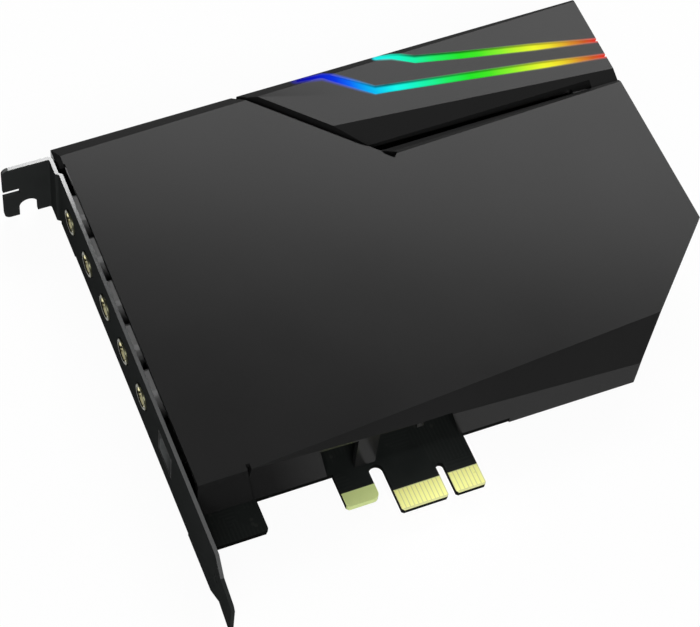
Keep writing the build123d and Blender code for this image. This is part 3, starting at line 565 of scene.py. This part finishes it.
# Optical socket: dark housing; faces inside the port get a paler copy of its finish, painted light in the
# recess
socketSpec = {"edge": 0.15, "rim": 0.3, "wall": 0.7, "nose": 0.6}
bm = mergedCopy("optical_socket", flatten=False)   # its thin step round the port stays triangles
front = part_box("optical_socket")[0][0]
low, high = [Vector(corner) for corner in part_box("optical_shutter")]
roundEdges(bm, socketSpec["edge"] * mm)
for face in bm.faces:
    middle = face.calc_center_median()
    inPort = all(low[axis] - socketSpec["wall"] * mm < middle[axis] < high[axis] + socketSpec["wall"] * mm
                 for axis in (1, 2))
    onNose = abs(face.normal.x) > socketSpec["rim"] and middle.x < front + socketSpec["nose"] * mm
    # faces inside the port, except its front rim, get the painted light
    face.material_index = 1 if inPort and not onNose else 0
makePiece("opticalSocket", bm, [socketPlastic, portPaintedLight], ["optical_socket"])

# Covers: the shallow creases stay crisp lines too
coverSpec = {"edge": 0.2, "crease": 12}
for name, node, finish in (("mainCover", "main_cover", coverPlastic),
                           ("lightCover", "light_cover", lightCoverPaintedGlow)):
    bm = mergedCopy(node)
    roundEdges(bm, coverSpec["edge"] * mm, sharp=coverSpec["crease"])
    makePiece(name, bm, finish, [node])

# Pins with rounded tips
pinSpec = {"tip": 0.14, "least": 0.3,
           "nodes": {"jackPins": "jack_pins", "opticalPins": "optical_pins",
                     "frontPanelPins": "front_panel_pins", "lightStripPins": "light_strip_pins",
                     "lightLinkPins": "light_link_pins"}}
for name, node in pinSpec["nodes"].items():
    bm = mergedCopy(node)
    roundEdges(bm, pinSpec["tip"] * mm, least=pinSpec["least"])
    makePiece(name, bm, tinPlate, [node])

# Board: its upright cut faces get a darker finish, painted shade; plated round the end of the locating tab
boardSpec = {"tabLeft": -23.4, "tabRight": -15.4, "tabTop": 5.3, "flat": 0.5}
bm = mergedCopy("circuit_board")
for face in bm.faces:
    middle = face.calc_center_median() / mm
    onTab = boardSpec["tabLeft"] < middle.x < boardSpec["tabRight"] and middle.y < boardSpec["tabTop"]
    face.material_index = 0 if abs(face.normal.z) > boardSpec["flat"] else 2 if onTab else 1
makePiece("circuitBoard", bm, [boardMask, boardEdgePaintedShade, tabPlating], ["circuit_board"])
print("covers, pins and board ready")

# Solids that are right as they are, with their finish
kept = {
    "front_edge_contacts": contactGold, "back_edge_contacts": contactGold,
    "locating_tab_plating": tabPlating, "light_guide_upper": lightGuide, "light_guide_lower": lightGuide,
    "light_board": lightBoardMask, "light_emitters": lampLens, "optical_emitter": emitterLens,
    "shutter_pin": tinPlate,
}
for node, finish in kept.items():
    rest[node].data.materials.clear()
    rest[node].data.materials.append(finish)
print("finished", len(kept), "solids")


# Jack bushings: turned rings with a dished mouth

bushingSpec = {"profile": [(3.1, 1.6), (3.1, 0.22), (3.06, 0.08), (2.94, 0.0), (2.6, 0.0), (2.5, 0.07),
                           (2.34, 0.28), (1.88, 0.9), (1.8, 1.06), (1.8, 4.8), (2.6, 4.8), (2.6, 1.6),
                           (3.1, 1.6)],
               "steps": 48, "rim": 2.48, "barrel": 2.3}   # rim and dish darkened by painted shade, barrel brightened by a painted highlight
for k in jacks:
    low, high = solidsOf(f"jack_bushing_{k}")[0]
    bm = bmesh.new()
    mouth = (low.x, (low.y + high.y) / 2, (low.z + high.z) / 2)
    spinProfile(bm, bushingSpec["profile"], mouth, bushingSpec["steps"], (1, 0, 0))
    closeSpin(bm)
    for face in bm.faces:
        radius = (face.calc_center_median() - Vector(mouth)).yz.length / mm
        face.material_index = (radius < bushingSpec["rim"]) + (radius < bushingSpec["barrel"])
    # painted shade on rim and dish, painted highlight on the barrel
    finishes = [bushingRimPaintedShade, dishPaintedShade, barrelPaintedHighlight]
    makePiece(f"jackBushing{k}", bm, finishes, [f"jack_bushing_{k}"])
print("bushings ready")


# Screws: pan heads with a cross recess

screwSpec = {
    "head": 1.9, "height": 1.3, "shank": 0.84, "tip": 0.8,
    # shares of the head's radius and height
    "pan": [(0.0, 0.0), (0.6, 0.01), (0.86, 0.12), (0.98, 0.4), (1.0, 0.6), (1.0, 1.0)],
    "slot": 0.5, "reach": 0.75, "deep": 0.85, "above": 0.3, "taper": 0.72, "upright": 0.5,
}


def addCross(bm, foot, spec):
    half = spec["slot"] / 2 * mm
    deep = foot + Vector((half, half, spec["deep"] * mm))
    block = addBlock(bm, foot - Vector((half, half, spec["above"] * mm)), deep)
    sides = [face for face in {f for v in block for f in v.link_faces}
             if abs(face.normal.z) < spec["upright"]]
    arms = bmesh.ops.extrude_discrete_faces(bm, faces=sides)["faces"]
    verts = set(block)
    for arm in arms:
        arm.normal_update()
        bmesh.ops.translate(bm, verts=arm.verts, vec=arm.normal * spec["reach"] * mm)
        verts.update(arm.verts)
    bottom = [vert for vert in verts if vert.co.z > foot.z]
    bmesh.ops.scale(bm, verts=bottom, vec=(spec["taper"], spec["taper"], 1.0),
                    space=Matrix.Translation(-foot))


def makeScrews(name, node, spec):
    bm = bmesh.new()
    cutter = bmesh.new()
    head, tall, shank = spec["head"], spec["height"], spec["shank"]
    for low, high in solidsOf(node):
        foot = Vector(((low.x + high.x) / 2, (low.y + high.y) / 2, low.z))
        end = (high.z - low.z) / mm
        profile = [(radius * head, height * tall) for radius, height in spec["pan"]]
        profile += [(shank, tall), (shank, end - spec["tip"] * shank), (0, end)]
        spinProfile(bm, profile, foot)
        addCross(cutter, foot, spec)
    closeSpin(bm)
    bmesh.ops.recalc_face_normals(cutter, faces=cutter.faces)
    makePiece(name, carve(bm, cutter), screwZinc, [node])


makeScrews("bracketScrews", "bracket_screws", screwSpec)
makeScrews("coverScrews", "cover_screws", screwSpec)
print("screws ready")


# Solder joints on the back of the board

solderSpec = {
    "fillet": [(0, 0), (1.0, 0), (0.95, -0.06), (0.62, -0.28), (0.48, -0.6), (0.42, -0.95), (0, -1.0)],
    "leadTip": [(0, 0), (0.95, 0), (0.9, -0.06), (0.58, -0.26), (0.38, -0.6), (0.3, -0.9), (0.3, -1.35),
                (0.2, -1.45), (0, -1.45)],
    "pins": ["jack_pins", "optical_pins", "front_panel_pins", "light_strip_pins", "light_link_pins"],
    "filmLead": 2.5, "relayPitch": 2.2, "relayRow": 2.54, "relayPins": (-1.5, -0.5, 0.5, 1.5), "steps": 14,
}


def middles(node):
    return [((low.x + high.x) / 2, (low.y + high.y) / 2) for low, high in solidsOf(node)]


def makeSolder(spec):
    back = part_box("circuit_board")[0][2]
    joints = [(x, y, "fillet") for node in spec["pins"] for x, y in middles(node)]
    for x, y in middles("film_capacitors"):
        joints += [(x + side * spec["filmLead"] * mm, y, "leadTip") for side in (-1, 1)]
    for x, y in middles("relays"):
        joints += [(x + step * spec["relayPitch"] * mm, y + side * spec["relayRow"] * mm, "leadTip")
                   for side in (-1, 1) for step in spec["relayPins"]]
    bm = bmesh.new()
    for x, y, shape in joints:
        spinProfile(bm, spec[shape], (x, y, back), spec["steps"])
    closeSpin(bm)
    makePiece("solderJoints", bm, solderTin)
    return joints


solderPlaces = makeSolder(solderSpec)


# Bent leads of the chips

leadCounts = {
    # node: lead width, pitch, leads on the X sides, leads on the Y sides
    "audio_processor": (0.3, 0.65, 23, 23),
    "converter_chip": (0.3, 0.65, 13, 13),
    "amplifier_chips": (0.42, 1.27, 4, 0),
    "voltage_regulators": (0.75, 2.3, 0, 3),
}
leadSpec = {"thick": 0.16, "inside": 0.2, "shoulder": 0.3, "knee": 0.7, "reach": 1.25, "lift": 0.02}


def addLead(bm, root, out, width, drop, spec):
    up = Vector((0, 0, 1))
    across = out.cross(up) * width / 2 * mm
    rise = up * spec["thick"] / 2 * mm
    corners = [root + across + rise, root - across + rise, root - across - rise, root + across - rise]
    face = bm.faces.new([bm.verts.new(corner) for corner in corners])
    for run, fall in ((spec["inside"] + spec["shoulder"], 0), (spec["knee"] - spec["shoulder"], drop),
                      (spec["reach"] - spec["knee"], 0)):
        grown = bmesh.ops.extrude_face_region(bm, geom=[face])["geom"]
        verts = [item for item in grown if isinstance(item, bmesh.types.BMVert)]
        face = [item for item in grown if isinstance(item, bmesh.types.BMFace)][0]
        bmesh.ops.translate(bm, verts=verts, vec=out * run * mm - up * fall)


def makeLeads(counts, spec):
    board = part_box("circuit_board")[1][2]
    bm = bmesh.new()
    for node, (width, pitch, onX, onY) in counts.items():
        for low, high in solidsOf(node):
            middle = (low + high) / 2
            drop = middle.z - board - (spec["thick"] / 2 + spec["lift"]) * mm
            for count, out in ((onX, Vector((1, 0, 0))), (onX, Vector((-1, 0, 0))),
                               (onY, Vector((0, 1, 0))), (onY, Vector((0, -1, 0)))):
                side = Vector((abs(out.y), abs(out.x), 0))
                half = abs(out.dot(high - low)) / 2 - spec["inside"] * mm
                for step in range(count):
                    offset = side * (step - (count - 1) / 2) * pitch * mm
                    addLead(bm, middle + out * half + offset, out, width, drop, spec)
    bmesh.ops.recalc_face_normals(bm, faces=bm.faces)
    makePiece("chipLeads", bm, tinPlate)


makeLeads(leadCounts, leadSpec)
print("chip leads ready")


# Can capacitors: rolled rim, groove near the foot, dark field on top

canSpec = {"profile": [(0, 0.75), (2.7, 0.75), (3.1, 0.85), (3.15, 1.1), (3.15, 1.5), (2.96, 1.66),
                       (2.96, 1.8), (3.15, 1.96), (3.15, 7.15), (3.08, 7.45), (2.9, 7.66), (2.74, 7.7),
                       (2.6, 7.6), (0, 7.58)],
           "foot": 0.9, "footCut": 1.4, "near": 0.01, "upright": 0.1, "steps": 32,
           "field": 1.1, "lidHeight": 7.5, "lidRadius": 2.7, "flat": 0.99}


def lidFaces(bm, centre, spec):
    found = []
    for face in bm.faces:
        away = face.calc_center_median() - centre
        inside = away.z > spec["lidHeight"] * mm and away.xy.length < spec["lidRadius"] * mm
        if inside and face.normal.z > spec["flat"]:
            found.append(face)
    return found


def makeCans(name, node, spec):
    bm = bmesh.new()
    centres = []
    for low, high in solidsOf(node):
        verts = addBlock(bm, low, (high.x, high.y, low.z + spec["foot"] * mm))
        for face in {f for v in verts for f in v.link_faces}:
            face.material_index = 1
        cut = [e for e in {e for v in verts for e in v.link_edges}
               if all(abs(v.co.x - high.x) < spec["near"] * mm for v in e.verts)
               and abs(e.verts[0].co.z - e.verts[1].co.z) > spec["upright"] * mm]
        bmesh.ops.bevel(bm, geom=cut, offset=spec["footCut"] * mm, offset_type="OFFSET", affect="EDGES",
                        segments=1, profile=0.5, material=-1)
        centre = Vector(((low.x + high.x) / 2, (low.y + high.y) / 2, low.z))
        spinProfile(bm, spec["profile"], centre, spec["steps"])
        centres.append(centre)
    closeSpin(bm)
    for centre in centres:
        edgeX = centre.x + spec["field"] * mm
        lid = lidFaces(bm, centre, spec)
        geometry = lid + list({e for f in lid for e in f.edges}) + list({v for f in lid for v in f.verts})
        bmesh.ops.bisect_plane(bm, geom=geometry, plane_co=(edgeX, 0, 0), plane_no=(1, 0, 0),
                               dist=weldSpec["turned"] * mm)
        for face in lidFaces(bm, centre, spec):
            if face.calc_center_median().x > edgeX:
                face.material_index = 2
    makePiece(name, bm, [canAluminium, headerPlastic, chipEpoxy], [node])


makeCans("canCapacitors", "electrolytic_capacitors", canSpec)
print("cans ready")


# Small surface parts scattered over both sides of the board

partSpec = {"seed": 7, "front": 46, "back": 44, "margin": 1.5, "jointMargin": 1.6,
            "area": ((-40.0, 18.0), (60.0, 98.0)), "slant": 30.0,
            "sizes": [(1.6, 0.8, 0.5), (1.0, 0.5, 0.4), (2.0, 1.25, 0.6)],
            "cap": 0.24, "skin": 0.02, "edge": 0.06}
frontParts = ["amplifier_chips", "audio_processor", "converter_chip", "crystal_oscillators",
              "electrolytic_capacitors", "film_capacitors", "front_panel_header", "light_link_header",
              "light_strip_header", "power_inductors", "relays", "voltage_regulators", "cover_screws"]


def makeSurfaceParts(spec):
    draw = random.Random(spec["seed"])
    margin = Vector((spec["margin"], spec["margin"], 0)) * mm
    frontBoxes = [(low - margin, high + margin) for node in frontParts for low, high in solidsOf(node)]
    backBoxes = [(low - margin, high + margin) for node in ("cover_screws", "bracket_screws")
                 for low, high in solidsOf(node)]
    clear = spec["jointMargin"] * margin
    backBoxes += [(Vector((x, y, 0)) - clear, Vector((x, y, 0)) + clear) for x, y, _ in solderPlaces]
    bottom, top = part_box("circuit_board")
    bodies = {"chipResistors": bmesh.new(), "ceramicCaps": bmesh.new()}
    caps = bmesh.new()
    sides = ((spec["front"], frontBoxes, top[2], 1), (spec["back"], backBoxes, bottom[2], -1))
    for count, boxes, level, side in sides:
        placed = 0
        while placed < count:
            (x0, y0), (x1, y1) = spec["area"]
            x, y = draw.uniform(x0, x1) * mm, draw.uniform(y0, y1) * mm
            length, width, height = [size * mm for size in draw.choice(spec["sizes"])]
            turned = draw.random() < 0.5
            kind = draw.choice(list(bodies))
            if x - y > spec["slant"] * mm or any(a.x < x < b.x and a.y < y < b.y for a, b in boxes):
                continue
            long = Vector((0, 1, 0)) if turned else Vector((1, 0, 0))
            wide = Vector((1, 0, 0)) if turned else Vector((0, 1, 0))
            foot = Vector((x, y, level))
            rise = Vector((0, 0, height * side))
            half = long * length / 2 + wide * width / 2
            addBlock(bodies[kind], foot - half, foot + half + rise)
            skin = (long + wide) * spec["skin"] * mm
            lift = Vector((0, 0, spec["skin"] * mm * side))
            for end in (-1, 1):
                capMiddle = foot + long * end * length * (1 - spec["cap"]) / 2
                reach = long * length * spec["cap"] / 2 + wide * width / 2 + skin
                addBlock(caps, capMiddle - reach, capMiddle + reach + rise + lift)
            boxes.append((foot - half - margin, foot + half + margin))
            placed += 1
    for bm in (*bodies.values(), caps):
        bmesh.ops.recalc_face_normals(bm, faces=bm.faces)
        bmesh.ops.bevel(bm, geom=bm.edges[:], offset=spec["edge"] * mm, offset_type="OFFSET",
                        affect="EDGES", segments=1, profile=0.5, material=-1)
    makePiece("chipResistors", bodies["chipResistors"], chipEpoxy)
    makePiece("ceramicCaps", bodies["ceramicCaps"], chipCeramic)
    makePiece("partCaps", caps, tinPlate)


makeSurfaceParts(partSpec)
print("small parts ready")


# Studio: pale floor, soft lights, camera

# paintedShade: brightness of the mirrored floor at two places along X, in mm; a painted shadow near the
# card and a painted bright band further left, seen only in reflections
# mirror and card: brightness of the mirrored room, dim at the low left, with two pale cards in front
studioSpec = {"floor": -4.05, "floorSize": 30.0, "paper": 0.9, "white": (0.95, 1.0), "spread": (0.16, 0.5),
              "paintedShadeRight": ((-35.5, 0.01), (-17.5, 0.43)), "paintedShadeLeft": ((-55.0, 0.01), (-59.0, 1.0)),
              "paintedShadeAway": ((-66.0, 1.0), (-76.0, 0.01)), "ambient": 0.2, "mirror": 0.3,
              "mirrorLeft": (-0.9, -0.7), "mirrorLow": (0.45, 0.3), "card": 1.0,
              "cardFront": (-0.4, -0.6), "cardSide": (0.48, 0.6), "cardTop": (0.62, 0.42)}
lightSpec = {
    # place, size across and deep in m, watts, turn about Z or None to face the card
    "backSoftbox": ((0.46, 0.89, 1.0), (1.1, 0.5), 14.1, -27.3),
    "frontFill": ((-0.4, -1.35, 1.2), (0.9, 0.9), 21.0, None),
}
spotSpec = {"place": (-2.5, -40.0, 800.0), "aim": (-2.5, 0.0, 0.8), "radius": 15.5, "blend": 0.4,
            "size": 12.0, "watts": 6.6}
cameraSpec = {"place": (-0.141978, -0.194085, 0.434182), "turn": (32.737, -4.658, -22.19),
              "lens": 115.08, "sensor": 36.0, "nearest": 0.01}


def makeFloor(spec):
    bm = bmesh.new()
    bmesh.ops.create_grid(bm, x_segments=1, y_segments=1, size=spec["floorSize"],
                          matrix=Matrix.Translation((0, 0, spec["floor"] * mm)))
    mesh = bpy.data.meshes.new("floor")
    bm.to_mesh(mesh)
    bm.free()
    floor = bpy.data.objects.new("floor", mesh)
    bpy.context.scene.collection.objects.link(floor)
    paper = bpy.data.materials.new("floorPaper")
    paper.use_nodes = True
    tree = paper.node_tree
    shader = tree.nodes["Principled BSDF"]
    shader.inputs["Base Color"].default_value = (*[spec["paper"]] * 3, 1.0)
    shader.inputs["Roughness"].default_value = spec["paper"]
    shader.inputs["Specular IOR Level"].default_value = 0.0
    glow = addNode(tree, "ShaderNodeEmission")
    path = addNode(tree, "ShaderNodeLightPath")
    seen = calc(tree, "MAXIMUM", path.outputs["Is Camera Ray"], path.outputs["Is Transmission Ray"])
    place = objectPlace(tree)
    away = vectorCalc(tree, "LENGTH", place).outputs["Value"]
    whiteness = remap(tree, away, *spec["spread"], *spec["white"], smooth=True)
    across = splitVector(tree, place)["X"]
    right, left, far = [remap(tree, across, x0 * mm, x1 * mm, bright0, bright1)
                        for (x0, bright0), (x1, bright1) in
                        (spec["paintedShadeRight"], spec["paintedShadeLeft"], spec["paintedShadeAway"])]
    # painted shade and a painted bright band in the floor, seen only by glossy rays
    mirrorPaintedShade = calc(tree, "MAXIMUM", right, calc(tree, "MINIMUM", left, far))
    mirrored = path.outputs["Is Glossy Ray"]
    join(tree, blendValue(tree, mirrored, 1.0, mirrorPaintedShade), glow.inputs["Strength"])
    mix = addNode(tree, "ShaderNodeMixShader")
    join(tree, calc(tree, "MAXIMUM", calc(tree, "MULTIPLY", seen, whiteness), mirrored), mix.inputs[0])
    join(tree, shader.outputs[0], mix.inputs[1])
    join(tree, glow.outputs[0], mix.inputs[2])
    join(tree, mix.outputs[0], tree.nodes["Material Output"].inputs["Surface"])
    mesh.materials.append(paper)


def makeWorld(spec):
    world = bpy.data.worlds.new("studio")
    bpy.context.scene.world = world
    world.use_nodes = True
    tree = world.node_tree
    back = tree.nodes["Background"]
    back.inputs["Color"].default_value = (1.0, 1.0, 1.0, 1.0)
    path = addNode(tree, "ShaderNodeLightPath")
    seen = calc(tree, "MAXIMUM", path.outputs["Is Camera Ray"], path.outputs["Is Transmission Ray"])
    strength = calc(tree, "ADD", spec["ambient"], calc(tree, "MULTIPLY", seen, 1.0 - spec["ambient"]))
    sky = splitVector(tree, addNode(tree, "ShaderNodeTexCoord").outputs["Generated"])
    dimLeft = remap(tree, sky["X"], *spec["mirrorLeft"], 1.0, 0.0)
    dimLow = remap(tree, sky["Z"], *spec["mirrorLow"], 0.0, 1.0)
    card = remap(tree, calc(tree, "ABSOLUTE", sky["X"]), *spec["cardSide"], 0.0, 1.0)
    for axis, limits in (("Y", spec["cardFront"]), ("Z", spec["cardTop"])):
        card = calc(tree, "MULTIPLY", card, remap(tree, sky[axis], *limits, 0.0, 1.0))
    mirror = blendValue(tree, card, spec["mirror"], spec["card"])
    mirror = blendValue(tree, calc(tree, "MULTIPLY", dimLeft, dimLow), mirror, 0.0)
    join(tree, blendValue(tree, path.outputs["Is Glossy Ray"], strength, mirror), back.inputs["Strength"])


def makeLights(spec):
    for name, (place, size, watts, turn) in spec.items():
        lamp = bpy.data.lights.new(name, "AREA")
        lamp.shape = "RECTANGLE"
        lamp.size, lamp.size_y = size
        lamp.energy = watts
        light = bpy.data.objects.new(name, lamp)
        light.location = place
        if turn is None:
            light.rotation_euler = Vector(place).to_track_quat("Z", "Y").to_euler()
        else:
            light.rotation_euler = (0.0, 0.0, math.radians(turn))
        bpy.context.scene.collection.objects.link(light)


def makeSpot(spec):
    # narrow beam from above on the card edge
    lamp = bpy.data.lights.new("edgeSpot", "SPOT")
    beam = (Vector(spec["place"]) - Vector(spec["aim"])) * mm
    lamp.spot_size = 2 * math.atan(spec["radius"] * mm / beam.length)
    lamp.spot_blend = spec["blend"]
    lamp.shadow_soft_size = spec["size"] * mm
    lamp.energy = spec["watts"]
    light = bpy.data.objects.new("edgeSpot", lamp)
    light.location = Vector(spec["place"]) * mm
    light.rotation_euler = beam.to_track_quat("Z", "Y").to_euler()
    bpy.context.scene.collection.objects.link(light)


def makeCamera(spec):
    data = bpy.data.cameras.new("camera")
    data.sensor_width = spec["sensor"]
    data.lens = spec["lens"]
    data.clip_start = spec["nearest"]
    camera = bpy.data.objects.new("camera", data)
    camera.location = spec["place"]
    camera.rotation_euler = [math.radians(angle) for angle in spec["turn"]]
    bpy.context.scene.collection.objects.link(camera)
    bpy.context.scene.camera = camera


makeFloor(studioSpec)
makeWorld(studioSpec)
makeLights(lightSpec)
makeSpot(spotSpec)
makeCamera(cameraSpec)
bpy.context.scene.view_settings.view_transform = "Standard"
print("studio ready")
